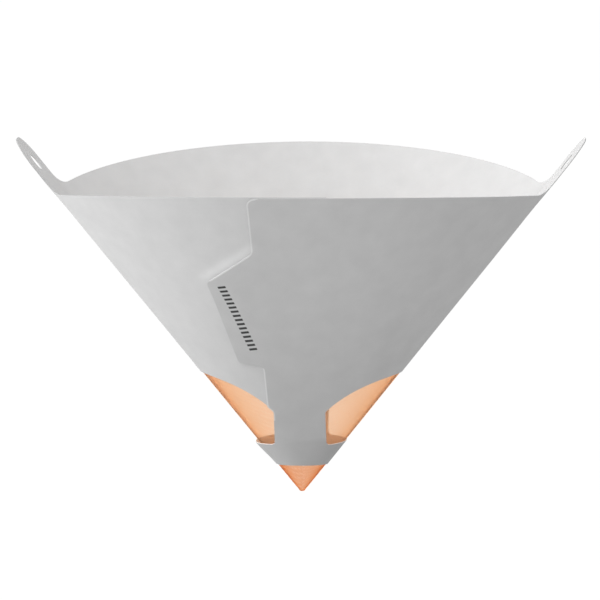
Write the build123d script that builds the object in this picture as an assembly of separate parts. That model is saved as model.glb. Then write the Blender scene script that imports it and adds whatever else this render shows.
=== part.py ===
from build123d import *
from math import asin, atan, cos, radians, sin, sqrt, tan
import os

# Paper cone paint strainer: a die-cut sheet of stiff paper rolled into a flattened cone and glued at a
# lap on the front, with a cone of nylon gauze glued inside it.
# Sizes are in millimetres, angles in degrees. +Z is up, X runs from ear to ear, -Y is the front.
# Heights, and distances along the paper, are counted from the point where the cone's sides would meet.

# The cone
SLANT = 137.0          # from the point to the rim, along the paper
SIDE_TILT = 38.2       # the flat sides under the ears, from the vertical
BULGE_TILT = 33.0      # the middle lines of the front and back, from the vertical
PAPER = 0.3            # thickness of the paper
OUTLET_SLANT = 14.6    # from the point to the paper's open lower edge, along the paper

# The ears, which carry on from the flat sides above the rim
EAR_WIDTH = 24.5
EAR_REACH = 22.5       # height above the rim, along the paper
EAR_CORNER = 10.0      # radius of the ear's upper corners
EAR_ROOT = 7.0         # radius where the ear's edges run into the rim
ROOT_SINK = 0.05       # depth of the root curve's foot below the rim
HOLE_DIAMETER = 6.35
HOLE_FROM_END = 10.5   # from the hole's centre to the end of the ear

# The windows, one across each flat side, drawn in the front view
STRIP_WIDTH = 17.6     # paper left between the two windows
WINDOW_BOTTOM = 19.8
WINDOW_SHOULDER = 33.2 # height of the window's inner upper corner
WINDOW_TOP = 44.7      # height of the window at the middle of the flat side
WINDOW_RISE = 2.7      # how far the window's upper edge bows above a straight line
WINDOW_CORNER = 1.5

# The lap, drawn in the front view: the right-hand end of the sheet lies over the left-hand end
SEAM_TOP_X = -15.4     # the outer layer's edge at the rim
SEAM_LOW_X = -10.4     # the same edge halfway up the windows
SEAM_END_X = -7.4      # the same edge carried on below the outlet
SEAM_CORNER = 3.5      # radius of the outer layer's corner at the rim
LAP_SLOPE = 0.1        # the hidden inner edge: sideways distance for each millimetre of height
GLUE = 0.05            # thickness of a glued joint

# The glued tab on the outer layer's edge, with its heights as shares of the slant
TAB_TOP = 0.69 * SLANT      # where its upper edge leaves the seam
TAB_UPPER_X = -29.6         # its left-hand edge runs from here
TAB_UPPER_Z = 0.61 * SLANT
TAB_LOWER_X = -20.0         # to here
TAB_LOWER_Z = 0.38 * SLANT
TAB_BOTTOM = 0.373 * SLANT  # where its lower edge comes back to the seam
TAB_CORNER = 2.0

# The gauze
GAUZE = 0.2            # thickness of the gauze
GAUZE_SLANT = 62.0     # from the point to the gauze's upper edge, along the paper
TIP_HEIGHT = 1.6       # the gauze is pinched flat this far above the point

# Room beyond the finished edges for the shapes that are cut to size
BEYOND = 25.0
APEX_TRIM = 0.4

SIDE = radians(SIDE_TILT)
BULGE = radians(BULGE_TILT)

# The flat side narrows from the ear's width at the rim to the point. Its edge, a line from the point,
# and the panel's middle line fix the round cone that the front or back panel is part of.
half_side = atan(EAR_WIDTH / 2 / SLANT)
edge_x = sin(SIDE) * cos(half_side)
edge_y = sin(half_side)
edge_z = cos(SIDE) * cos(half_side)
axis_lean = atan((edge_z - cos(BULGE)) / (sin(BULGE) - edge_y))
cone_angle = BULGE - axis_lean
edge_turn = asin(edge_x / sin(cone_angle))


def front_axis():
    return Vector(0, -sin(axis_lean), cos(axis_lean))


def front_normal(turn):
    """Outward normal of the front panel, at a turn about its axis from the middle line."""
    facing = Vector(sin(turn), -cos(turn) * cos(axis_lean), -cos(turn) * sin(axis_lean))
    return facing * cos(cone_angle) - front_axis() * sin(cone_angle)


# The outer layer is the front panel's cone slid forward in the middle plane. The slide runs along the
# paper at the right-hand flat side, so the two layers come together there.
edge_normal = front_normal(edge_turn)
slide_way = Vector(0, edge_normal.Z, -edge_normal.Y).normalized()
slide_lift = slide_way.dot(front_normal(0))
LAP_SLIDE = slide_way * ((PAPER + GLUE) / slide_lift)
NO_SLIDE = Vector(0, 0, 0)


def front_block(outline):
    """A block from the middle plane forward, with its outline drawn in the front view."""
    return extrude(Plane.XZ * outline, SLANT + BEYOND)


def front_half(inset, slide):
    """The front half of the space within the cone, its faces moved in by inset and the front one slid."""
    reach = SLANT + BEYOND
    axis = front_axis()
    cone = Cone(
        APEX_TRIM * tan(cone_angle),
        (reach + APEX_TRIM) * tan(cone_angle),
        reach,
        align=(Align.CENTER, Align.CENTER, Align.MIN),
    )
    start = axis * (inset / sin(cone_angle) + APEX_TRIM) + slide
    point = inset / sin(SIDE)
    across = (reach - point) * tan(SIDE)
    sides = make_face(Polyline((0, point), (across, reach), (-across, reach), close=True))
    return Plane(origin=start, z_dir=axis) * cone & front_block(sides)


def inside(inset):
    """The space within the cone, with its four faces moved in by inset."""
    front = front_half(inset, NO_SLIDE)
    return front + mirror(front, Plane.XZ)


def seam_x(height):
    """Where the outer layer's edge runs, left of the middle."""
    share = (height - seam_low) / (SLANT * cos(BULGE) - seam_low)
    return SEAM_LOW_X + (SEAM_TOP_X - SEAM_LOW_X) * share


def rim_height(x):
    """Height of the front rim at a distance from the middle."""
    turn = asin(x / (SLANT * sin(cone_angle)))
    return SLANT * (cos(cone_angle) * cos(axis_lean) - sin(cone_angle) * cos(turn) * sin(axis_lean))


def rounded(outline, points, radius):
    """The outline with its corners at these points rounded."""
    corners = [outline.vertices().sort_by_distance(Vector(*point))[0] for point in points]
    return fillet(corners, radius)


# The outer layer's outline, with the tab on its left-hand edge
seam_low = (WINDOW_BOTTOM + WINDOW_SHOULDER) / 2
above = SLANT + BEYOND
corner_x = SEAM_TOP_X + SEAM_CORNER
corner_top = rim_height(corner_x) + ROOT_SINK
corner_foot = corner_top - SEAM_CORNER
tab_points = [
    (seam_x(TAB_TOP), TAB_TOP),
    (TAB_UPPER_X, TAB_UPPER_Z),
    (TAB_LOWER_X, TAB_LOWER_Z),
    (seam_x(TAB_BOTTOM), TAB_BOTTOM),
]
seam_corner = TangentArc(
    (seam_x(corner_foot), corner_foot),
    (corner_x, corner_top),
    tangent=(seam_x(corner_top) - seam_x(corner_foot), SEAM_CORNER),
)
seam_sides = Polyline(
    (corner_x, corner_top),
    (corner_x, above),
    (above, above),
    (above, 0),
    (0, 0),
    (SEAM_END_X, OUTLET_SLANT / 2),
    (SEAM_LOW_X, seam_low),
    *reversed(tab_points),
    (seam_x(corner_foot), corner_foot),
)
outer_outline = make_face(seam_corner.edges() + seam_sides.edges())
outer_outline = rounded(outer_outline, tab_points, TAB_CORNER)

# The hidden edge of the inner layer
hidden_edge = Polyline((0, 0), (above * LAP_SLOPE, above), (above, above), (above, 0), close=True)
hidden_block = front_block(make_face(hidden_edge))

# The paper, still without its upper and lower edges
outer_space = inside(0) - hidden_block + (front_half(0, LAP_SLIDE) & front_block(outer_outline))
inner_space = inside(PAPER) - hidden_block + (front_half(PAPER, LAP_SLIDE) & hidden_block)
sheet = outer_space - inner_space

# The ear, drawn on the right-hand flat side with its middle line upright
ear_plane = Plane(origin=(0, 0, 0), x_dir=(0, 1, 0), z_dir=(cos(SIDE), 0, -sin(SIDE)))
ear_end = SLANT + EAR_REACH
ear_foot = SLANT - 2 * EAR_ROOT
ear_blade = Pos(0, (ear_end + ear_foot) / 2) * Rectangle(EAR_WIDTH, ear_end - ear_foot)
ear_blade = fillet(ear_blade.vertices().group_by(Axis.Y)[-1], EAR_CORNER)
rim_radius = SLANT - ROOT_SINK
foot = Circle(rim_radius) & Pos(0, SLANT) * Rectangle(EAR_WIDTH + 2.5 * EAR_ROOT, 4 * EAR_ROOT)
ear_outline = ear_blade + foot
root_height = sqrt(rim_radius ** 2 - EAR_WIDTH ** 2 / 4)
ear_outline = rounded(ear_outline, [(EAR_WIDTH / 2, root_height), (-EAR_WIDTH / 2, root_height)], EAR_ROOT)
right_ear = extrude(ear_plane * ear_outline, 2 * EAR_ROOT, both=True)
hole_place = ear_plane * Pos(0, ear_end - HOLE_FROM_END)
right_hole = hole_place * Cylinder(HOLE_DIAMETER / 2, 4 * EAR_ROOT)

# One window, open to the side
window_x = STRIP_WIDTH / 2
window_side = WINDOW_TOP * tan(SIDE)
bow = Vector(WINDOW_SHOULDER - WINDOW_TOP, window_side - window_x).normalized() * WINDOW_RISE
window_edge = ThreePointArc(
    (window_x, WINDOW_SHOULDER),
    ((window_x + window_side) / 2 + bow.X, (WINDOW_SHOULDER + WINDOW_TOP) / 2 + bow.Y),
    (window_side, WINDOW_TOP),
)
window_sides = Polyline(
    (window_side, WINDOW_TOP),
    (SLANT, WINDOW_TOP),
    (SLANT, WINDOW_BOTTOM),
    (window_x, WINDOW_BOTTOM),
    (window_x, WINDOW_SHOULDER),
)
window = make_face(window_edge.edges() + window_sides.edges())
window = rounded(window, [(window_x, WINDOW_SHOULDER), (window_x, WINDOW_BOTTOM)], WINDOW_CORNER)
right_window = extrude(Plane.XZ * window, SLANT, both=True)

paper_cone = sheet & (Sphere(SLANT) + right_ear + mirror(right_ear, Plane.YZ))
paper_cone = paper_cone - Sphere(OUTLET_SLANT)
for cut in (right_window, right_hole):
    paper_cone = paper_cone - cut - mirror(cut, Plane.YZ)

# The gauze, glued to the paper's inner face
gauze_out = inside(PAPER + GLUE)
gauze_in = inside(PAPER + GLUE + GAUZE)
above_tip = Pos(0, 0, TIP_HEIGHT) * Box(SLANT, SLANT, SLANT, align=(Align.CENTER, Align.CENTER, Align.MIN))
filter_mesh = (gauze_out - gauze_in) & Sphere(GAUZE_SLANT) & above_tip

# The lowest place, the pinched tip of the gauze, is at the origin
os.makedirs("parts", exist_ok=True)
for name, solid in (("paper_cone", paper_cone), ("filter_mesh", filter_mesh)):
    export_step(Pos(0, 0, -TIP_HEIGHT) * solid, f"parts/{name}.step")
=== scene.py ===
# %% [markdown]
# # A paper paint strainer
# This strainer starts as one flat, die-cut sheet of stiff white paper. The sheet is rolled into a cone,
# lapped and glued at the front, and lined near its point with a cone of orange nylon gauze. Two ears with
# hanging holes carry on from its flat sides. The lesson follows the factory: draw the blank, cut it, roll
# it, weave the gauze, and roll that too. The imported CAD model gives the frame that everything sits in.

# %% Load the frame
from math import asin, atan, atan2, ceil, cos, hypot, pi, radians, sin, sqrt, tan

import bmesh
import bpy
from mathutils import Matrix, Vector
from mathutils.kdtree import KDTree


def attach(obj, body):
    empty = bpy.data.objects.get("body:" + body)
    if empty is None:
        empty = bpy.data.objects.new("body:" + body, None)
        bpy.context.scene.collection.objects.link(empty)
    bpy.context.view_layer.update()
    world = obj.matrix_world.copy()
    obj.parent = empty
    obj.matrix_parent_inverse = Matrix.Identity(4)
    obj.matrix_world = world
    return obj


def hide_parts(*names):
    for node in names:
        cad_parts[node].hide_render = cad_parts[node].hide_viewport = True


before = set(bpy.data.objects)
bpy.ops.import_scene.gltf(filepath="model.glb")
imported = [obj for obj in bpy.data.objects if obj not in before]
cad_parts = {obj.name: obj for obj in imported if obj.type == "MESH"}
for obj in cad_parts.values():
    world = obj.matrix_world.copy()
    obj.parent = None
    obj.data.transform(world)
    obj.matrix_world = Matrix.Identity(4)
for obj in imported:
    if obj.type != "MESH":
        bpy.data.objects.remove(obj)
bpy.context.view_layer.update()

# %% [markdown]
# ## The camera
# The picture is taken from a little above the rim with a long lens, so the two slanting sides stay almost
# straight. The camera could be placed by eye, but a viewing direction, a distance and a slight roll are
# easier to correct one at a time, so it is built from those.

# %% Camera
IMAGE_WIDTH = 600
SENSOR_MM = 36.0
LENS_MM = 355.0
VIEW_TURN = radians(2.33)
VIEW_RISE = radians(8.74)
VIEW_ROLL = radians(0.23)
VIEW_DISTANCE = 2.055
VIEW_CENTRE = Vector((-0.0005, 0.0, 0.0674))

backward = Vector((sin(VIEW_TURN) * cos(VIEW_RISE), -cos(VIEW_TURN) * cos(VIEW_RISE), sin(VIEW_RISE)))
level = Vector((cos(VIEW_TURN), sin(VIEW_TURN), 0))
rise = backward.cross(level)
right = level * cos(VIEW_ROLL) - rise * sin(VIEW_ROLL)
upward = rise * cos(VIEW_ROLL) + level * sin(VIEW_ROLL)

lens = bpy.data.cameras.new("camera")
lens.sensor_width = SENSOR_MM
lens.lens = LENS_MM
lens.clip_end = 50
camera = bpy.data.objects.new("camera", lens)
turned = Matrix((right, upward, backward)).transposed()
camera.matrix_world = Matrix.Translation(VIEW_CENTRE + backward * VIEW_DISTANCE) @ turned.to_4x4()
bpy.context.scene.collection.objects.link(camera)
bpy.context.scene.camera = camera
pixel = VIEW_DISTANCE * SENSOR_MM / LENS_MM / IMAGE_WIDTH
print("camera at", tuple(round(c, 3) for c in camera.location), "pixel", round(pixel * 1000, 4), "mm")

# %% [markdown]
# ## The rolled cone
# Paper bends but doesn't stretch, so the rolled shape keeps every distance of the flat blank. Each point of
# the blank has two numbers: its slant, which is its distance from the point of the cone, and its turn,
# which is its angle about that point in the flat sheet. The cone has two flat sides below the ears, and a
# front and a back that are each part of a round cone. One round of the sheet is four half panels and two
# flat sides. Sizes are written in millimetres, and MM turns them into metres.

# %% Sizes of the cone
MM = 0.001
SLANT = 137.0
SIDE_TILT = radians(38.2)
BULGE_TILT = radians(33.0)
PAPER = 0.3
OUTLET_SLANT = 14.6
EAR_WIDTH = 24.5
TIP_HEIGHT = 1.6

half_side = atan(EAR_WIDTH / 2 / SLANT)
edge_x = sin(SIDE_TILT) * cos(half_side)
edge_y = sin(half_side)
edge_z = cos(SIDE_TILT) * cos(half_side)
axis_lean = atan((edge_z - cos(BULGE_TILT)) / (sin(BULGE_TILT) - edge_y))
cone_angle = BULGE_TILT - axis_lean
edge_turn = asin(edge_x / sin(cone_angle))
half_panel = edge_turn * sin(cone_angle)
QUARTER = half_panel + half_side
ROUND = 4 * QUARTER
print("one round of the sheet is", round(ROUND * 180 / pi, 2), "degrees")

# %% [markdown]
# ## Drawing the blank
# The lap, its glued tab and the windows are easiest to draw as the finished cone shows them, in the front
# view. A helper carries a front-view point back to the flat sheet. The ears lie in the plane of the flat
# sides, so they are drawn there. Turn 0 is the middle of the front, and turns grow to the right.

# %% From the front view to the sheet
along_axis = cos(cone_angle) * cos(axis_lean)
off_axis = -sin(cone_angle) * sin(axis_lean)


def sheet_point(x, z):
    """Turn and slant of a point on the front panel that is drawn at x, z in the front view."""
    square = along_axis ** 2 - off_axis ** 2
    inner = z ** 2 + (off_axis * x / sin(cone_angle)) ** 2
    slant = (along_axis * z - sqrt((along_axis * z) ** 2 - square * inner)) / square
    return asin(x / (slant * sin(cone_angle))) * sin(cone_angle), slant


def arc(centre, start, end, steps):
    """Points round a centre, the short way from start to end."""
    first = atan2(start[1] - centre[1], start[0] - centre[0])
    sweep = atan2(end[1] - centre[1], end[0] - centre[0]) - first
    sweep = (sweep + pi) % (2 * pi) - pi
    reach = hypot(start[0] - centre[0], start[1] - centre[1])
    angles = [first + sweep * i / steps for i in range(steps + 1)]
    return [(centre[0] + reach * cos(angle), centre[1] + reach * sin(angle)) for angle in angles]


def rounded(points, radius, steps=8):
    """A line through these points, with its corners rounded."""
    line = [points[0]]
    for before, corner, after in zip(points, points[1:], points[2:]):
        back = (Vector(before) - Vector(corner)).normalized()
        ahead = (Vector(after) - Vector(corner)).normalized()
        half = back.angle(ahead) / 2
        centre = Vector(corner) + (back + ahead).normalized() * (radius / sin(half))
        reach = radius / tan(half)
        line += arc(centre, Vector(corner) + back * reach, Vector(corner) + ahead * reach, steps)
    return line + [points[-1]]


def finely(points, step):
    """The same line with points no further apart than step."""
    line = [points[0]]
    for start, end in zip(points, points[1:]):
        count = max(1, ceil(hypot(end[0] - start[0], end[1] - start[1]) / step))
        for i in range(1, count + 1):
            share = i / count
            line.append((start[0] + (end[0] - start[0]) * share, start[1] + (end[1] - start[1]) * share))
    return line


# %% The windows
STRIP_WIDTH = 17.6
WINDOW_BOTTOM = 19.8
WINDOW_SHOULDER = 33.2
WINDOW_TOP = 44.7
WINDOW_RISE = 2.7
WINDOW_CORNER = 1.5
STEP = 0.8
BOW_STEPS = 40
SIDE_STEPS = 4

strip = STRIP_WIDTH / 2
top_side = (WINDOW_TOP * tan(SIDE_TILT), WINDOW_TOP)
shoulder = (strip, WINDOW_SHOULDER)
chord = Vector(top_side) - Vector(shoulder)
bow_radius = (chord.length ** 2 / 4 + WINDOW_RISE ** 2) / (2 * WINDOW_RISE)
bow_down = Vector((chord.y, -chord.x)).normalized() * (bow_radius - WINDOW_RISE)
bow = arc((Vector(top_side) + Vector(shoulder)) / 2 + bow_down, top_side, shoulder, BOW_STEPS)
last = bow[-2]
foot = (WINDOW_BOTTOM * tan(SIDE_TILT), WINDOW_BOTTOM)
window_front = bow[:-2] + rounded([last, shoulder, (strip, WINDOW_BOTTOM), foot], WINDOW_CORNER)


def across_side(height):
    """The flat side's front half at one height, from its middle line to its front edge."""
    offs = [half_side * i / SIDE_STEPS for i in range(SIDE_STEPS + 1)]
    return [(QUARTER - off, height / cos(SIDE_TILT) / cos(off)) for off in offs]


window_quarter = (
    across_side(WINDOW_TOP)
    + [sheet_point(x, z) for x, z in finely(window_front, STEP)[1:-1]]
    + across_side(WINDOW_BOTTOM)[::-1]
)
right_window = window_quarter + [(ROUND / 2 - turn, slant) for turn, slant in window_quarter[-2:0:-1]]
left_window = [(ROUND - turn, slant) for turn, slant in right_window]
print("window outline", len(right_window), "points")

# %% The ears and their holes
EAR_REACH = 22.5
EAR_CORNER = 10.0
EAR_CORNER_STEPS = 14
EAR_ROOT = 7.0
EAR_ROOT_STEPS = 10
HOLE_DIAMETER = 6.35
HOLE_FROM_END = 10.5
HOLE_SIDES = 48

ear_end = SLANT + EAR_REACH
root_x = EAR_WIDTH / 2 + EAR_ROOT
root_y = sqrt((SLANT + EAR_ROOT) ** 2 - root_x ** 2)
on_rim = (root_x * SLANT / (SLANT + EAR_ROOT), root_y * SLANT / (SLANT + EAR_ROOT))
ear_half = arc((root_x, root_y), on_rim, (EAR_WIDTH / 2, root_y), EAR_ROOT_STEPS)
ear_corner = [(EAR_WIDTH / 2, root_y), (EAR_WIDTH / 2, ear_end), (0, ear_end)]
ear_half += rounded(ear_corner, EAR_CORNER, EAR_CORNER_STEPS)[1:]
ear_half = [(atan2(x, y), hypot(x, y)) for x, y in finely(ear_half, STEP)]
ear = [(-off, slant) for off, slant in ear_half] + ear_half[-2::-1]

hole_radius = HOLE_DIAMETER / 2
hole_height = ear_end - HOLE_FROM_END
angles = [2 * pi * i / HOLE_SIDES for i in range(HOLE_SIDES)]
hole_points = [(hole_radius * cos(angle), hole_height + hole_radius * sin(angle)) for angle in angles]
hole = [(atan2(x, y), hypot(x, y)) for x, y in hole_points]
print("ear outline", len(ear), "points")

# %% The lap's edge, with the glued tab
SEAM_TOP_X = -15.4
SEAM_LOW_X = -10.4
SEAM_END_X = -7.4
SEAM_CORNER = 3.5
SEAM_CORNER_STEPS = 9
TAB_POINTS_X = (None, -29.6, -20.0, None)
TAB_SHARES = (0.69, 0.61, 0.38, 0.373)
TAB_CORNER = 2.0
LAP_SLOPE = 0.1

seam_low = (WINDOW_BOTTOM + WINDOW_SHOULDER) / 2
rim_middle = SLANT * cos(BULGE_TILT)


def seam_x(height):
    """Where the lap's edge runs, left of the middle."""
    return SEAM_LOW_X + (SEAM_TOP_X - SEAM_LOW_X) * (height - seam_low) / (rim_middle - seam_low)


tab_heights = [share * SLANT for share in TAB_SHARES]
tab = [(seam_x(z) if x is None else x, z) for x, z in zip(TAB_POINTS_X, tab_heights)]
seam_start = (seam_x(rim_middle - SEAM_CORNER), rim_middle - SEAM_CORNER)
lower = (SEAM_LOW_X, seam_low)
seam = rounded([seam_start, *tab, lower], TAB_CORNER) + [(SEAM_END_X, OUTLET_SLANT / 2)]


def window_edge(height):
    """How far from the middle the window's inner edge is at a height. Without a window it is far off."""
    for (x0, z0), (x1, z1) in zip(window_front, window_front[1:]):
        if z1 <= height <= z0 and z0 > z1:
            return x1 + (x0 - x1) * (height - z1) / (z0 - z1)
    return SLANT


outlet_height = OUTLET_SLANT * cos(SIDE_TILT)
seam = [(max(x, -window_edge(z)), z) for x, z in finely(seam, STEP / 2) if z > outlet_height]
lap_edge = [sheet_point(x, z) for x, z in seam]
lap_edge = [(turn, slant) for turn, slant in lap_edge if slant > OUTLET_SLANT]
lap_edge.append((lap_edge[-1][0], OUTLET_SLANT))
corner_end = (sheet_point(SEAM_TOP_X + SEAM_CORNER, rim_middle)[0], SLANT)
corner_knee = (lap_edge[0][0], SLANT)
lap_corner = []
for i in range(SEAM_CORNER_STEPS):
    share = i / SEAM_CORNER_STEPS
    weights = ((1 - share) ** 2, 2 * share * (1 - share), share * share)
    corners = zip(corner_end, corner_knee, lap_edge[0])
    lap_corner.append(tuple(sum(w * c for w, c in zip(weights, three)) for three in corners))
hidden_turn = ROUND + sheet_point(LAP_SLOPE * rim_middle, rim_middle)[0]
print("lap from", round(lap_edge[-1][0] * 180 / pi, 1), "to", round(hidden_turn * 180 / pi, 1), "degrees")

# %% [markdown]
# ## Cutting the blank
# The outline, windows and holes are drawn with the turn running across and the slant running up, so that
# bend lines are straight. `triangle_fill` fills the outline, and cuts along a grid of lines give it the
# points that it needs to bend smoothly. The long triangles of the fill would crease, so their edges are
# dissolved, and only the grid and the outline stay. Solidify then gives the paper its thickness.

# %% Blank
TURN_SCALE = 0.1
LINE_TURN = radians(0.75)
LINE_SLANT = 1.5 * MM
LEVEL = 2e-6


def at_side(points, quarters):
    """Points drawn about the middle line of a flat side, moved round to that side."""
    return [(quarters * QUARTER + off, slant) for off, slant in points]


outline = lap_edge[::-1] + lap_corner[::-1] + at_side(ear, 1) + at_side(ear, 3)
outline += [(hidden_turn, SLANT), (hidden_turn, OUTLET_SLANT)]
holes = [at_side(hole, 1), at_side(hole, 3)]

cut = bmesh.new()
edges = []
for loop in (outline, right_window, left_window, *holes):
    ring = [cut.verts.new((turn * TURN_SCALE, slant * MM, 0)) for turn, slant in loop]
    edges += [cut.edges.new(pair) for pair in zip(ring, ring[1:] + ring[:1])]
bmesh.ops.triangle_fill(cut, use_beauty=True, edges=edges, normal=(0, 0, 1))

spacing = (LINE_TURN * TURN_SCALE, LINE_SLANT)
for axis in (0, 1):
    places = [vert.co[axis] for vert in cut.verts]
    normal = Vector((1 - axis, axis, 0))
    for i in range(ceil(min(places) / spacing[axis]), ceil(max(places) / spacing[axis])):
        everything = cut.verts[:] + cut.edges[:] + cut.faces[:]
        place = normal * (i * spacing[axis])
        bmesh.ops.bisect_plane(cut, geom=everything, dist=LEVEL, plane_co=place, plane_no=normal)


def on_grid(edge):
    """Whether an edge lies along one of the grid's lines."""
    for axis in (0, 1):
        start, end = (vert.co[axis] for vert in edge.verts)
        line = round(start / spacing[axis]) * spacing[axis]
        if abs(start - end) < LEVEL and abs(start - line) < LEVEL:
            return True
    return False


slanting = [edge for edge in cut.edges if not edge.is_boundary and not on_grid(edge)]
bmesh.ops.dissolve_edges(cut, edges=slanting, use_verts=False)
spare = [vert for vert in cut.verts if len(vert.link_edges) == 2 and not vert.is_boundary]
bmesh.ops.dissolve_verts(cut, verts=spare)
bmesh.ops.triangulate(cut, faces=[face for face in cut.faces if len(face.verts) > 4])
bmesh.ops.recalc_face_normals(cut, faces=cut.faces[:])
if sum(face.normal.z for face in cut.faces) < 0:
    bmesh.ops.reverse_faces(cut, faces=cut.faces[:])
blank = bpy.data.meshes.new("blank")
cut.to_mesh(blank)
cut.free()
print("blank", len(blank.polygons), "faces")

# %% The sheet's thickness and its cut edges
SHARP_ANGLE = radians(60)
FACING = 0.5

slab = bpy.data.objects.new("slab", blank)
bpy.context.scene.collection.objects.link(slab)
wall = slab.modifiers.new("thickness", "SOLIDIFY")
wall.thickness = PAPER * MM
wall.offset = -1
sheet = bpy.data.meshes.new_from_object(slab.evaluated_get(bpy.context.evaluated_depsgraph_get()))
bpy.data.objects.remove(slab)
sheet.set_sharp_from_angle(angle=SHARP_ANGLE)
sheet.polygons.foreach_set("use_smooth", [True] * len(sheet.polygons))

ups = [face.normal.z for face in sheet.polygons]
cut_edge = sheet.attributes.new("cut_edge", "FLOAT", "FACE")
cut_edge.data.foreach_set("value", [float(abs(up) < FACING) for up in ups])
outside = sheet.attributes.new("outside", "FLOAT", "FACE")
outside.data.foreach_set("value", [float(up > FACING) for up in ups])
print("sheet", len(ups), "faces, of which", sum(abs(up) < FACING for up in ups), "are cut edges")

# %% [markdown]
# ## What the sheet remembers
# The paper's finish follows the flat blank, so the mesh keeps the blank in a UV map. It also keeps how far
# each point is from the lap's free edge. That edge is taken as a line of close points, and a KD tree finds
# the nearest one quickly, where measuring every pair would be slow. The tab is glued down flat, so the edge
# beside it is left out.

# %% The flat map and the distance from the lap's edge
MAP_WIDTH = 360.0
LAP_LINE_END = 36.0
LAP_LINE_STEP = 0.1
CLEAR_OF_TAB = 1.0


def flat_place(turn, slant):
    """Where a point of the sheet lies on the flat blank, in millimetres from the middle of its map."""
    return slant * sin(turn - ROUND / 2), slant * cos(turn - ROUND / 2)


tab_slants = [sheet_point(*corner)[1] for corner in tab]


def on_seam(point):
    """Whether a point of the lap's edge is above the tab's outer corner, or below the tab."""
    slant = hypot(*point)
    return slant > tab_slants[1] + CLEAR_OF_TAB or LAP_LINE_END < slant < tab_slants[3] - CLEAR_OF_TAB


lap_line = finely([flat_place(*point) for point in lap_edge[::-1] + lap_corner[::-1]], LAP_LINE_STEP)
lap_line = [point for point in lap_line if on_seam(point)]
nearest = KDTree(len(lap_line))
for i, (x, y) in enumerate(lap_line):
    nearest.insert((x, y, 0), i)
nearest.balance()

flat_points = [flat_place(point.co.x / TURN_SCALE, point.co.y / MM) for point in sheet.vertices]
off_lap = sheet.attributes.new("off_lap", "FLOAT", "POINT")
off_lap.data.foreach_set("value", [nearest.find((x, y, 0))[2] for x, y in flat_points])
flat_map = sheet.uv_layers.new(name="blank")
for corner in sheet.loops:
    x, y = flat_points[corner.vertex_index]
    flat_map.data[corner.index].uv = (0.5 + x / MAP_WIDTH, 0.5 + y / MAP_WIDTH)
print("flat map of", len(flat_points), "points, lap's edge of", len(lap_line))

# %% [markdown]
# ## Formulas in nodes
# A rule such as rolling takes many Math nodes, and linking them one by one hides the rule. A small class
# wraps a socket, so that adding or multiplying two of them makes the node. The same helper serves the
# geometry trees and the materials.

# %% Node helpers
class Field:
    """A node's output that can stand in a sum, so that a formula in nodes reads as arithmetic."""

    def __init__(self, tree, socket):
        self.tree = tree
        self.socket = socket

    def __add__(self, other):
        return calculate(self.tree, "ADD", self, other)

    def __radd__(self, other):
        return calculate(self.tree, "ADD", other, self)

    def __sub__(self, other):
        return calculate(self.tree, "SUBTRACT", self, other)

    def __rsub__(self, other):
        return calculate(self.tree, "SUBTRACT", other, self)

    def __mul__(self, other):
        return calculate(self.tree, "MULTIPLY", self, other)

    def __rmul__(self, other):
        return calculate(self.tree, "MULTIPLY", other, self)

    def __truediv__(self, other):
        return calculate(self.tree, "DIVIDE", self, other)

    def __neg__(self):
        return calculate(self.tree, "MULTIPLY", self, -1.0)

    def __abs__(self):
        return calculate(self.tree, "ABSOLUTE", self)


def connect(tree, value, socket):
    """Links an output to a socket, or sets a plain value on it."""
    if isinstance(value, Field):
        value = value.socket
    if isinstance(value, bpy.types.NodeSocket):
        tree.links.new(value, socket)
    else:
        socket.default_value = value


def add_node(tree, kind, inputs=None, **settings):
    """A new node with its settings and inputs."""
    made = tree.nodes.new(kind)
    for name, value in settings.items():
        setattr(made, name, value)
    for name, value in (inputs or {}).items():
        connect(tree, value, made.inputs[name])
    return made


def calculate(tree, operation, *values):
    """The result of one Math node."""
    made = tree.nodes.new("ShaderNodeMath")
    made.operation = operation
    for value, socket in zip(values, made.inputs):
        connect(tree, value, socket)
    return Field(tree, made.outputs[0])


def sine(field):
    """The sine of an angle in radians."""
    return calculate(field.tree, "SINE", field)


def cosine(field):
    """The cosine of an angle in radians."""
    return calculate(field.tree, "COSINE", field)


def less(field, bound):
    """1 where the field is below the bound, and 0 elsewhere."""
    return calculate(field.tree, "LESS_THAN", field, bound)


def larger(field, bound):
    """The field or the bound, whichever is larger."""
    return calculate(field.tree, "MAXIMUM", field, bound)


def smaller(field, bound):
    """The field or the bound, whichever is smaller."""
    return calculate(field.tree, "MINIMUM", field, bound)


def smooth_step(field, low, high):
    """0 below low, 1 above high, and a smooth rise between."""
    share = smaller(larger((field - low) / (high - low), 0.0), 1.0)
    return share * share * (3.0 - 2.0 * share)


def vector(tree, x, y, z):
    """A vector of three values."""
    made = tree.nodes.new("ShaderNodeCombineXYZ")
    for value, socket in zip((x, y, z), made.inputs):
        connect(tree, value, socket)
    return Field(tree, made.outputs[0])


def parts(field):
    """The x, y and z of a vector."""
    made = add_node(field.tree, "ShaderNodeSeparateXYZ", {"Vector": field})
    return [Field(field.tree, socket) for socket in made.outputs]


def new_group(name, inputs, outputs):
    """A geometry node group, its inputs by name, and its output node."""
    tree = bpy.data.node_groups.new(name, "GeometryNodeTree")
    for label, kind, start in inputs:
        socket = tree.interface.new_socket(label, in_out="INPUT", socket_type=kind)
        if start is not None:
            socket.default_value = start
    for label, kind in outputs:
        tree.interface.new_socket(label, in_out="OUTPUT", socket_type=kind)
    given = tree.nodes.new("NodeGroupInput")
    taken = tree.nodes.new("NodeGroupOutput")
    return tree, {label: Field(tree, given.outputs[label]) for label, kind, start in inputs}, taken


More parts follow.
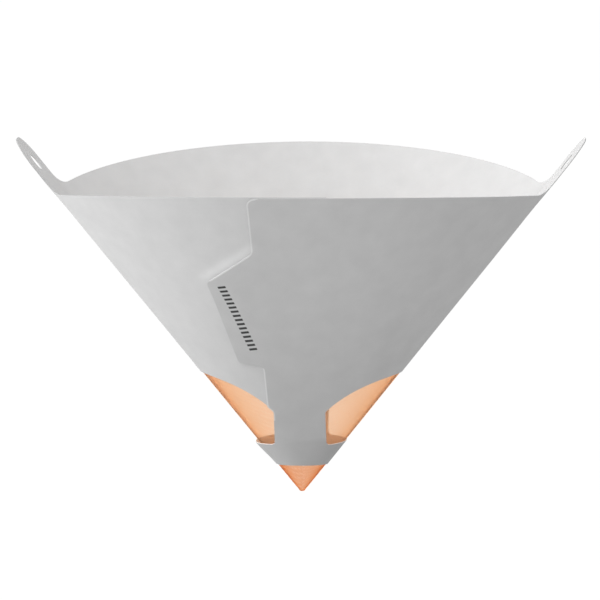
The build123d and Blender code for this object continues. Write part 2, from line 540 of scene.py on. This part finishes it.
# %% [markdown]
# ## Rolling the sheet
# Each point is placed by its turn, its slant and its depth in the sheet. The turn is folded into one
# quarter of the cone, because front and back, and left and right, mirror each other. There it lies on a
# round panel or on a flat side, and the two run into each other over a soft fold. A Simple Deform modifier
# could bend the sheet round, but not into a cone with flat sides, so a rule in nodes does it.
#
# The right-hand end of the sheet is the outer layer of the lap, so it is lifted by a little more than one
# paper, and its free end springs up slightly. The paper rises to a low ridge along the tab's upper edge,
# and the band below the windows flares a little on the left. A slow noise keeps the cone from looking
# machined. The gauze is rolled by the same group, without the lap, the ridge and the flare.

# %% Sizes for rolling
FOLD_SOFTNESS = radians(2.4)
FOLD_FADES = (0.93, 1.05)
EAR_CRISPNESS = 0.8
LAP_LIFT = 0.40
LAP_SPRING = 1.2
SPRING_REACH = 30.0
RIDGE_HEIGHT = 0.75
RIDGE_WIDTH = 1.8
RIDGE_START = (-0.25, 0.15)
RIDGE_END = (0.85, 1.25)
TAB_BULGE = 12.0
FLARE = 0.8
FLARE_FADES = (0.1, 0.5)
FLARE_TOP = 1.4
WAVINESS = 0.35
WAVE_SCALE = 14.0

side_normal = Vector((cos(SIDE_TILT), 0, -sin(SIDE_TILT)))
panel_edge_normal = Vector((
    cos(cone_angle) * sin(edge_turn),
    sin(cone_angle) * sin(axis_lean) - cos(cone_angle) * cos(edge_turn) * cos(axis_lean),
    -cos(cone_angle) * cos(edge_turn) * sin(axis_lean) - sin(cone_angle) * cos(axis_lean),
))
fold_bend = side_normal.angle(panel_edge_normal)

ridge_corners = [sheet_point(*corner) for corner in tab[:2]]
ridge_ends = [Vector((slant * sin(turn), slant * cos(turn))) * MM for turn, slant in ridge_corners]
ridge_start, ridge_end = ridge_ends
ridge_way = (ridge_end - ridge_start).normalized()
ridge_length = (ridge_end - ridge_start).length
print("ridge above the tab", round(ridge_length / MM, 1), "mm long")

# %% Rolling group: the cone
roll_inputs = [
    ("Turn", "NodeSocketFloat", 0.0),
    ("Slant", "NodeSocketFloat", 0.0),
    ("Depth", "NodeSocketFloat", 0.0),
    ("Cone angle", "NodeSocketFloat", cone_angle),
    ("Axis lean", "NodeSocketFloat", axis_lean),
    ("Side tilt", "NodeSocketFloat", SIDE_TILT),
    ("Half panel", "NodeSocketFloat", half_panel),
    ("Half side", "NodeSocketFloat", half_side),
    ("Fold bend", "NodeSocketFloat", fold_bend),
    ("Fold softness", "NodeSocketFloat", FOLD_SOFTNESS),
    ("Rim slant", "NodeSocketFloat", SLANT * MM),
    ("Lap lift", "NodeSocketFloat", LAP_LIFT * MM),
    ("Lap spring", "NodeSocketFloat", LAP_SPRING * MM),
    ("Spring reach", "NodeSocketFloat", SPRING_REACH * MM),
    ("Ridge height", "NodeSocketFloat", RIDGE_HEIGHT * MM),
    ("Ridge width", "NodeSocketFloat", RIDGE_WIDTH * MM),
    ("Tab bulge", "NodeSocketFloat", TAB_BULGE * MM),
    ("Flare", "NodeSocketFloat", FLARE * MM),
    ("Waviness", "NodeSocketFloat", WAVINESS * MM),
    ("Tip height", "NodeSocketFloat", TIP_HEIGHT * MM),
]
roll, given, roll_out = new_group("roll into the cone", roll_inputs, [("Position", "NodeSocketVector")])

quarter = given["Half panel"] + given["Half side"]
turn = calculate(roll, "WRAP", given["Turn"], quarter * 4.0, 0.0)
to_right = 2.0 * less(turn, quarter * 2.0) - 1.0
from_front = quarter * 2.0 - abs(turn - quarter * 2.0)
to_back = 1.0 - 2.0 * less(from_front, quarter)
off = quarter - abs(from_front - quarter)

cone_sin, cone_cos = sine(given["Cone angle"]), cosine(given["Cone angle"])
lean_sin, lean_cos = sine(given["Axis lean"]), cosine(given["Axis lean"])
tilt_sin, tilt_cos = sine(given["Side tilt"]), cosine(given["Side tilt"])
panel_turn = off / cone_sin
turn_sin, turn_cos = sine(panel_turn), cosine(panel_turn)
panel_way = (
    cone_sin * turn_sin,
    -(cone_cos * lean_sin) - cone_sin * turn_cos * lean_cos,
    cone_cos * lean_cos - cone_sin * turn_cos * lean_sin,
)
panel_out = (
    cone_cos * turn_sin,
    cone_sin * lean_sin - cone_cos * turn_cos * lean_cos,
    -(cone_cos * turn_cos * lean_sin) - cone_sin * lean_cos,
)
side_off = quarter - off
side_way = (cosine(side_off) * tilt_sin, -sine(side_off), cosine(side_off) * tilt_cos)
side_out = (tilt_cos, 0.0, -tilt_sin)

above_rim = smooth_step(given["Slant"] / given["Rim slant"], *FOLD_FADES)
softness = given["Fold softness"] * (1.0 - EAR_CRISPNESS * above_rim)
over_fold = larger(smaller((off - given["Half panel"]) / softness, 1.0), -1.0)
share = smooth_step(over_fold, -1.0, 1.0)
dent = given["Fold bend"] * softness * ((over_fold + 1.0) * (over_fold + 1.0) / 4.0 - share * over_fold)
way = [panel + (side - panel) * share for panel, side in zip(panel_way, side_way)]
out = [panel + (side - panel) * share for panel, side in zip(panel_out, side_out)]
print("cone in", len(roll.nodes), "nodes")

# %% Rolling group: the lap, the ridge, the flare and the waviness
edge_cos = cosine(given["Half panel"] / cone_sin)
lap = less(given["Turn"], quarter) * larger((turn_cos - edge_cos) / (1.0 - edge_cos), 0.0)
lap = lap * given["Lap lift"]
past_middle = larger(-given["Turn"], 0.0) * given["Slant"] / given["Spring reach"]
lap = lap + past_middle * past_middle * given["Lap spring"]

left_turn = turn - quarter * 4.0
ridge_x = given["Slant"] * sine(left_turn) - ridge_start.x
ridge_y = given["Slant"] * cosine(left_turn) - ridge_start.y
ridge_across = ridge_x * ridge_way.y - ridge_y * ridge_way.x
above_tab = larger(ridge_across, 0.0) / given["Ridge width"]
under_tab = larger(-ridge_across, 0.0) / given["Tab bulge"]
ridge_along = (ridge_x * ridge_way.x + ridge_y * ridge_way.y) / ridge_length
beside_tab = smooth_step(ridge_along, *RIDGE_START) * (1.0 - smooth_step(ridge_along, *RIDGE_END))
ridge = calculate(roll, "EXPONENT", -(above_tab * above_tab) - under_tab * under_tab)
ridge = ridge * beside_tab * given["Ridge height"]

band_top = WINDOW_BOTTOM / cos(SIDE_TILT) * MM
up_band = smooth_step(given["Slant"], OUTLET_SLANT * MM, band_top)
up_band = up_band * less(given["Slant"], band_top * FLARE_TOP)
off_flare = abs(left_turn + given["Half panel"])
flare = up_band * (1.0 - smooth_step(off_flare, *FLARE_FADES)) * given["Flare"]

smooth_place = [way[0] * to_right, way[1] * (-to_back), way[2]]
base = vector(roll, *[part * given["Slant"] for part in smooth_place])
noise = add_node(roll, "ShaderNodeTexNoise", {"Vector": base, "Scale": WAVE_SCALE, "Detail": 1.0})
wave = (Field(roll, noise.outputs[0]) - 0.5) * 2.0 * given["Waviness"] * given["Slant"] / given["Rim slant"]
height = given["Depth"] - given["Slant"] * dent + lap + ridge + flare + wave
place = [along * given["Slant"] + outward * height for along, outward in zip(way, out)]
rolled = vector(roll, place[0] * to_right, -(place[1] * to_back), place[2] - given["Tip height"])
connect(roll, rolled, roll_out.inputs["Position"])
print("rolling group", len(roll.nodes), "nodes")

# %% [markdown]
# ## White paper
# The paper is stiff, uncoated and matt. Up close it shows fine fibres, and from further off a faint
# cloudiness where the pulp lay thicker. Both are noise on the blank's own flat map, so they roll up with
# the sheet. Shade is painted on the outside: it is made greyer on the lap, on the band and towards the
# tip. The cut edges are painted lighter, as a painted highlight, and a thin painted highlight runs along
# the lap's edge, while the cut at the rim is painted darker, as painted shade. The tab has a row of plain
# printed bars. An image could hold them, but distances along and across a line on the same map draw
# them sharper.

# %% Tones of the paper
PAPER_TONE = 0.82
CLOUD_SCALE = 0.12
CLOUD_TONE = 0.11
FIBRE_SCALE = 1.4
FIBRE_STRETCH = (0.6, 2.0)
FIBRE_TONE = 0.03
FIBRE_BUMP = 0.00004
# Painted shade on the outside: greyer on the lap, on the band below the windows and towards the tip.
LAP_SHADE = 0.115
LAP_TURNS = (-0.25, 0.4)
BAND_SLANTS = (25.0, 29.0)
TIP_SHADE = 0.13
TIP_SLANTS = (10.0, 110.0)
# Painted highlight on the outside along the lap's edge and on the cut edges, and painted shade on the cut
# at the rim.
LAP_EDGE_HIGHLIGHT = 0.22
LAP_LINE_FADES = (0.2, 0.7)
CUT_EDGE_HIGHLIGHT = 0.07
RIM_EDGE_SHADE = -0.20
RIM_EDGE_SHADE_SLANTS = (95.0, 125.0)
PAPER_ROUGHNESS = 0.88
darkest = PAPER_TONE * (1 - LAP_SHADE - TIP_SHADE)
print("tones of the paper's outside from", round(darkest, 3), "to", PAPER_TONE)

# %% Sizes of the printed bars
PRINT_TONE = 0.03
PRINT_START = (-24.8, 82.7)
PRINT_END = (-14.6, 56.8)
PRINT_HEIGHT = 2.9
BAR_PITCH = 1.95
BAR_SHARE = 0.5
PRINT_BLUR = 0.08

map_middle = Vector((MAP_WIDTH / 2, MAP_WIDTH / 2))
bar_start = Vector(flat_place(*sheet_point(*PRINT_START))) + map_middle
bar_end = Vector(flat_place(*sheet_point(*PRINT_END))) + map_middle
bar_way = (bar_end - bar_start).normalized()
bar_length = (bar_end - bar_start).length
print("row of printed bars", round(bar_length, 1), "mm long")


# %% Material helpers
def new_material(name):
    """A material, its node tree and its Principled shader."""
    material = bpy.data.materials.new(name)
    material.use_nodes = True
    return material, material.node_tree, material.node_tree.nodes["Principled BSDF"]


def grey(tree, tone):
    """A neutral colour of this tone."""
    made = add_node(tree, "ShaderNodeCombineColor", {"Red": tone, "Green": tone, "Blue": tone})
    return Field(tree, made.outputs[0])


def noise_of(tree, place, scale, detail=2.0):
    """Soft noise about 0.5."""
    made = add_node(tree, "ShaderNodeTexNoise", {"Vector": place, "Scale": scale, "Detail": detail})
    return Field(tree, made.outputs[0])


def mesh_value(tree, name):
    """A value that the mesh keeps for each face or point."""
    return Field(tree, add_node(tree, "ShaderNodeAttribute", attribute_name=name).outputs["Fac"])


def inside(field, half_width, blur):
    """1 where the field is within half_width of 0, with a soft edge."""
    return smaller(larger((half_width - abs(field)) / blur + 0.5, 0.0), 1.0)


# %% Paper material
paper, tree, shader = new_material("white paper")
uv = add_node(tree, "ShaderNodeUVMap", uv_map="blank").outputs[0]
flat = add_node(tree, "ShaderNodeVectorMath", {0: uv, "Scale": MAP_WIDTH}, operation="SCALE").outputs[0]
flat_x, flat_y = parts(Field(tree, flat))[:2]
from_point_x = flat_x - map_middle.x
from_point_y = flat_y - map_middle.y
sheet_turn = calculate(tree, "ARCTAN2", from_point_x, from_point_y) + ROUND / 2
sheet_slant = calculate(tree, "SQRT", from_point_x * from_point_x + from_point_y * from_point_y)

clouds = noise_of(tree, flat, CLOUD_SCALE, 3.0)
stretched = vector(tree, flat_x * FIBRE_STRETCH[0], flat_y * FIBRE_STRETCH[1], 0.0)
fibres = noise_of(tree, stretched, FIBRE_SCALE, 4.0)
on_outside = mesh_value(tree, "outside")
# Painted shade: the outside is made darker on the lap, on the band and towards the tip.
shade_on_lap_and_band = larger(1.0 - smooth_step(sheet_turn, *LAP_TURNS), 1.0 - smooth_step(sheet_slant, *BAND_SLANTS))
near_tip = 1.0 - smooth_step(sheet_slant, *TIP_SLANTS)
# Painted highlight along the lap's edge and on the cut edges; the cut at the rim gets painted shade
# instead.
lap_edge_highlight_mask = 1.0 - smooth_step(mesh_value(tree, "off_lap"), *LAP_LINE_FADES)
rim_edge_shade_mask = smooth_step(sheet_slant, *RIM_EDGE_SHADE_SLANTS)
cut_edge_highlight_and_shade = CUT_EDGE_HIGHLIGHT + (RIM_EDGE_SHADE - CUT_EDGE_HIGHLIGHT) * rim_edge_shade_mask
tone = PAPER_TONE + CLOUD_TONE * (clouds - 0.5) + FIBRE_TONE * (fibres - 0.5)
tone = tone * (1.0 - (LAP_SHADE * shade_on_lap_and_band + TIP_SHADE * near_tip) * on_outside)
# Adds the painted highlight along the lap's edge and on the cut edges, and the painted shade on the rim's
# cut.
tone = tone + LAP_EDGE_HIGHLIGHT * lap_edge_highlight_mask * on_outside + cut_edge_highlight_and_shade * mesh_value(tree, "cut_edge")

along = (flat_x - bar_start.x) * bar_way.x + (flat_y - bar_start.y) * bar_way.y
across = (flat_y - bar_start.y) * bar_way.x - (flat_x - bar_start.x) * bar_way.y
in_bar = (calculate(tree, "FRACT", along / BAR_PITCH) - 0.5) * BAR_PITCH
bars = inside(in_bar, BAR_PITCH * BAR_SHARE / 2, PRINT_BLUR) * inside(across, PRINT_HEIGHT / 2, PRINT_BLUR)
bars = bars * inside(along - bar_length / 2, bar_length / 2, PRINT_BLUR) * on_outside
ink = bars * (0.9 + 0.1 * larger(fibres, 0.0))
connect(tree, grey(tree, tone + (PRINT_TONE - tone) * ink), shader.inputs["Base Color"])
connect(tree, PAPER_ROUGHNESS + 0.10 * (fibres - 0.5) - 0.2 * ink, shader.inputs["Roughness"])
shader.inputs["Specular IOR Level"].default_value = 0.25
bump = add_node(tree, "ShaderNodeBump", {"Height": fibres, "Strength": 0.35, "Distance": FIBRE_BUMP})
connect(tree, bump.outputs[0], shader.inputs["Normal"])
print("white paper", len(tree.nodes), "nodes")

# %% [markdown]
# ## From node trees to pieces
# Both pieces come from a tree that rolls with the same group and ends in the same way, so three helpers
# serve them. A modifier's inputs go by hidden identifiers, which are looked up by their labels. The result
# is kept as a plain mesh and the modifier is taken off, so that other programs get the finished shape.

# %% Piece helpers
def evaluated_piece(name, mesh, tree, material, values):
    """A plain mesh object of what a node tree makes, with its inputs set by their labels."""
    piece = bpy.data.objects.new(name, mesh)
    bpy.context.scene.collection.objects.link(piece)
    modifier = piece.modifiers.new("nodes", "NODES")
    modifier.node_group = tree
    labels = {item.name: item.identifier for item in tree.interface.items_tree if item.in_out == "INPUT"}
    for label, value in {**values, "Material": material}.items():
        modifier[labels[label]] = value
    made = bpy.data.meshes.new_from_object(piece.evaluated_get(bpy.context.evaluated_depsgraph_get()))
    piece.modifiers.clear()
    piece.data = made
    made.name = name
    return piece


def close_tree(tree, geometry, taken, material):
    """The end of each tree: real geometry with its material."""
    real = add_node(tree, "GeometryNodeRealizeInstances", {"Geometry": geometry})
    dressed = add_node(tree, "GeometryNodeSetMaterial", {"Geometry": real.outputs[0], "Material": material})
    connect(tree, dressed.outputs[0], taken.inputs["Geometry"])


def rolled_place(tree, inputs):
    """The rolling group in another tree."""
    made = tree.nodes.new("GeometryNodeGroup")
    made.node_tree = roll
    for label, value in inputs.items():
        connect(tree, value, made.inputs[label])
    return made.outputs["Position"]


# %% Paper piece
paper_inputs = [
    ("Geometry", "NodeSocketGeometry", None),
    ("Turn scale", "NodeSocketFloat", TURN_SCALE),
    ("Waviness", "NodeSocketFloat", WAVINESS * MM),
    ("Material", "NodeSocketMaterial", None),
]
roll_paper, given, taken = new_group("roll the paper", paper_inputs, [("Geometry", "NodeSocketGeometry")])
x, y, z = parts(Field(roll_paper, roll_paper.nodes.new("GeometryNodeInputPosition").outputs[0]))
on_sheet = {"Turn": x / given["Turn scale"], "Slant": y, "Depth": z, "Waviness": given["Waviness"]}
spot = rolled_place(roll_paper, on_sheet)
moved = add_node(roll_paper, "GeometryNodeSetPosition", {"Geometry": given["Geometry"], "Position": spot})
close_tree(roll_paper, moved.outputs[0], taken, given["Material"])

paper_values = {"Turn scale": TURN_SCALE, "Waviness": WAVINESS * MM}
paper_cone = evaluated_piece("paper", sheet, roll_paper, paper, paper_values)
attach(paper_cone, "root")
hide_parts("paper_cone")
print("paper", len(paper_cone.data.polygons), "faces")

# %% [markdown]
# ## Orange gauze
# The gauze is a plain weave of orange nylon, cut as a sector and rolled inside the paper with its own seam
# at the back. A texture could fake it, but close up only real threads show the weave, so Geometry Nodes
# lay two families of straight threads over the flat sector, one across the other. Each thread's two ends
# are worked out from its number, the line between them is divided, and then everything is rolled. The nylon
# is clear and dyed, so most of its light comes through it. Towards the tip its colour is painted darker
# and deeper, as painted shade. Threads this thin hardly bend light, so the IOR is 1, and a rough coat
# gives them their soft sheen.

# %% Gauze material
# Each tint: the plain colour, then the colour at the tip, where it is painted darker and deeper as painted
# shade.
GAUZE_TINTS_AND_TIP_SHADE = [("Red", 1.0, 0.95), ("Green", 0.80, 0.64), ("Blue", 0.63, 0.42)]
TIP_SHADE_HEIGHTS = (9.0 * MM, 12.0 * MM)
STREAK_SCALE = 900.0
STREAKINESS = 0.10
WEFT_SHADE = 0.04

gauze, tree, shader = new_material("orange gauze")
object_place = add_node(tree, "ShaderNodeTexCoord").outputs["Object"]
streaks = noise_of(tree, object_place, STREAK_SCALE)
weft = mesh_value(tree, "weft")
# Painted shade: the gauze's colour turns darker and deeper towards the tip.
tip_shade_mask = 1.0 - smooth_step(parts(Field(tree, object_place))[2], *TIP_SHADE_HEIGHTS)
light = 1.0 + STREAKINESS * (streaks - 0.5) - WEFT_SHADE * weft
tint = {name: (plain + (tip - plain) * tip_shade_mask) * light for name, plain, tip in GAUZE_TINTS_AND_TIP_SHADE}
colour = add_node(tree, "ShaderNodeCombineColor", tint)
connect(tree, colour.outputs[0], shader.inputs["Base Color"])
connect(tree, 0.40 + 0.15 * (streaks - 0.5), shader.inputs["Roughness"])
shader.inputs["Transmission Weight"].default_value = 0.93
shader.inputs["IOR"].default_value = 1.0
shader.inputs["Coat Weight"].default_value = 0.8
shader.inputs["Coat Roughness"].default_value = 0.8
print("orange gauze", len(tree.nodes), "nodes")

# %% Threads
GAUZE_SLANT = 62.0
GLUE = 0.05
THREAD = 0.19
PITCH = 0.36
THREAD_STEP = 1.7
THREAD_SIDES = 3
WEFT_DROP = 0.8

gauze_inputs = [
    ("Radius", "NodeSocketFloat", GAUZE_SLANT * MM),
    ("Pitch", "NodeSocketFloat", PITCH * MM),
    ("Thread", "NodeSocketFloat", THREAD * MM),
    ("Step", "NodeSocketFloat", THREAD_STEP * MM),
    ("Half sector", "NodeSocketFloat", ROUND / 2),
    ("Inset", "NodeSocketFloat", (PAPER + GLUE) * MM),
    ("Waviness", "NodeSocketFloat", WAVINESS * MM),
    ("Material", "NodeSocketMaterial", None),
]
weave, given, taken = new_group("weave the gauze", gauze_inputs, [("Geometry", "NodeSocketGeometry")])


def thread_family(count, start, end, layer):
    """Straight threads, each from its start to its end on the flat sector, marked with their layer."""
    points = add_node(weave, "GeometryNodePoints", {"Count": count})
    ends = add_node(weave, "GeometryNodePointsToVertices", {"Points": points.outputs[0]})
    at_start = {"Geometry": ends.outputs[0], "Position": vector(weave, *start, 0.0)}
    placed = add_node(weave, "GeometryNodeSetPosition", at_start)
    reach = vector(weave, end[0] - start[0], end[1] - start[1], 0.0)
    to_end = {"Mesh": placed.outputs[0], "Offset": reach}
    drawn = add_node(weave, "GeometryNodeExtrudeMesh", to_end, mode="VERTICES")
    named = {"Geometry": drawn.outputs["Mesh"], "Name": "weft", "Value": layer}
    kind = {"data_type": "FLOAT", "domain": "POINT"}
    return add_node(weave, "GeometryNodeStoreNamedAttribute", named, **kind).outputs[0]


number = Field(weave, weave.nodes.new("GeometryNodeInputIndex").outputs[0])
radius, pitch = given["Radius"], given["Pitch"]
slope = cosine(given["Half sector"]) / sine(given["Half sector"])
low_side = radius * cosine(given["Half sector"])

warp_x = (number + 0.5) * pitch - radius
warp_top = calculate(weave, "SQRT", larger(radius * radius - warp_x * warp_x, 0.0))
warp_bottom = larger(abs(warp_x) * slope, -warp_top)
warp = thread_family(radius * 2.0 / pitch, (warp_x, warp_bottom), (warp_x, warp_top), 0.0)

row = calculate(weave, "FLOOR", number / 2.0)
hand = 1.0 - 2.0 * (number - 2.0 * row)
weft_y = (row + 0.5) * pitch + low_side
weft_end = calculate(weave, "SQRT", larger(radius * radius - weft_y * weft_y, 0.0))
weft_start = smaller(larger(weft_y / slope, 0.0), weft_end)
weft_count = (radius - low_side) / pitch * 2.0
weft = thread_family(weft_count, (weft_start * hand, weft_y), (weft_end * hand, weft_y), 1.0)
print("threads laid out in", len(weave.nodes), "nodes")

# %% Rolling the threads
both = weave.nodes.new("GeometryNodeJoinGeometry")
for family in (warp, weft):
    weave.links.new(family, both.inputs[0])
lines = add_node(weave, "GeometryNodeMeshToCurve", {"Mesh": both.outputs[0]})
length = Field(weave, weave.nodes.new("GeometryNodeSplineLength").outputs["Length"])
count = larger(length / given["Step"] + 1.0, 2.0)
divided = add_node(weave, "GeometryNodeResampleCurve", {"Curve": lines.outputs[0], "Count": count})
x, y = parts(Field(weave, weave.nodes.new("GeometryNodeInputPosition").outputs[0]))[:2]
layer_node = add_node(weave, "GeometryNodeInputNamedAttribute", {"Name": "weft"}, data_type="FLOAT")
layer = Field(weave, layer_node.outputs["Attribute"])
slant = calculate(weave, "SQRT", x * x + y * y)
depth = -given["Inset"] - given["Thread"] * (0.5 + WEFT_DROP * layer)
on_sheet = {"Turn": calculate(weave, "ARCTAN2", x, y), "Slant": slant, "Depth": depth}
no_lap = {"Lap lift": 0.0, "Lap spring": 0.0, "Ridge height": 0.0, "Flare": 0.0}
spot = rolled_place(weave, {**on_sheet, **no_lap, "Waviness": given["Waviness"]})
spot_x, spot_y, spot_z = parts(Field(weave, spot))
pinched = vector(weave, spot_x, spot_y, larger(spot_z, given["Thread"] / 2.0))
laid = add_node(weave, "GeometryNodeSetPosition", {"Geometry": divided.outputs[0], "Position": pinched})
section = {"Resolution": THREAD_SIDES, "Radius": given["Thread"] / 2.0}
profile = add_node(weave, "GeometryNodeCurvePrimitiveCircle", section)
swept = {"Curve": laid.outputs[0], "Profile Curve": profile.outputs[0], "Fill Caps": True}
tubes = add_node(weave, "GeometryNodeCurveToMesh", swept)
close_tree(weave, tubes.outputs[0], taken, given["Material"])
print("weaving group", len(weave.nodes), "nodes")

# %% Gauze piece
gauze_sizes = {"Radius": GAUZE_SLANT, "Pitch": PITCH, "Thread": THREAD, "Step": THREAD_STEP}
gauze_values = {label: size * MM for label, size in gauze_sizes.items()}
gauze_cone = evaluated_piece("gauze", bpy.data.meshes.new("sector"), weave, gauze, gauze_values)
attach(gauze_cone, "root")
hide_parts("filter_mesh")
triangles = sum(len(face.vertices) - 2 for face in gauze_cone.data.polygons)
print("gauze", triangles, "triangles")

# %% [markdown]
# ## Floor, background and light
# The strainer hangs in front of a plain white background. The floor lies below its tip, pale, and partly
# glows where the camera sees it, so the picture is white there while the shadow stays. More lamps could
# whiten it, but they would also wash out the paper. The room gives an even light, and three soft lamps on
# the left, the lowest the strongest, shade the cone from left to right.

# %% Floor and world
FLOOR_DROP = 0.30
FLOOR_SIZE = 12.0
FLOOR_TONE = 0.6
FLOOR_GLOW = 0.68
AMBIENT = 0.57


def seen_directly(tree):
    """1 for what the camera sees, also in gloss and through glass, and 0 for light on the object."""
    path = tree.nodes.new("ShaderNodeLightPath")
    names = ("Is Camera Ray", "Is Glossy Ray", "Is Transmission Ray")
    to_camera, in_gloss, through_glass = [Field(tree, path.outputs[name]) for name in names]
    return larger(larger(to_camera, in_gloss), through_glass)


floor_mesh = bpy.data.meshes.new("floor")
half = FLOOR_SIZE / 2
floor_corners = [(x * half, y * half, -FLOOR_DROP) for x, y in ((-1, -1), (1, -1), (1, 1), (-1, 1))]
floor_mesh.from_pydata(floor_corners, [], [(0, 1, 2, 3)])
floor = bpy.data.objects.new("floor", floor_mesh)
bpy.context.scene.collection.objects.link(floor)
floor_paint, tree, shader = new_material("pale floor")
shader.inputs["Base Color"].default_value = (FLOOR_TONE, FLOOR_TONE, FLOOR_TONE, 1)
shader.inputs["Roughness"].default_value = 1.0
shader.inputs["Specular IOR Level"].default_value = 0.0
glow = add_node(tree, "ShaderNodeEmission", {"Strength": FLOOR_GLOW * seen_directly(tree)})
added = add_node(tree, "ShaderNodeAddShader", {0: shader.outputs[0], 1: glow.outputs[0]})
connect(tree, added.outputs[0], tree.nodes["Material Output"].inputs["Surface"])
floor_mesh.materials.append(floor_paint)

world = bpy.data.worlds.new("white background")
world.use_nodes = True
bpy.context.scene.world = world
tree = world.node_tree
background = tree.nodes["Background"]
background.inputs["Color"].default_value = (1, 1, 1, 1)
connect(tree, AMBIENT + (1.0 - AMBIENT) * seen_directly(tree), background.inputs["Strength"])
print("floor", FLOOR_DROP, "m below the tip, room light", AMBIENT)

# %% Lamps, each by its azimuth, elevation, distance, size and power
LAMPS = {
    "low left": (-95, 5, 0.6, 0.4, 1.45),
    "front left": (-30, 30, 0.6, 0.4, 1.17),
    "back left": (-120, 40, 0.6, 0.4, 0.55),
}
AIM = Vector((0, 0, 0.07))
for name, (azimuth, elevation, distance, size, power) in LAMPS.items():
    around = radians(azimuth)
    above = radians(elevation)
    spot = AIM + Vector((sin(around) * cos(above), -cos(around) * cos(above), sin(above))) * distance
    lamp = bpy.data.lights.new(name, "AREA")
    lamp.size = size
    lamp.energy = power
    hung = bpy.data.objects.new(name, lamp)
    hung.location = spot
    hung.rotation_euler = (spot - AIM).to_track_quat("Z", "Y").to_euler()
    hung.visible_camera = False
    bpy.context.scene.collection.objects.link(hung)
bpy.context.scene.view_settings.view_transform = "Standard"
print("lamps", len(LAMPS))
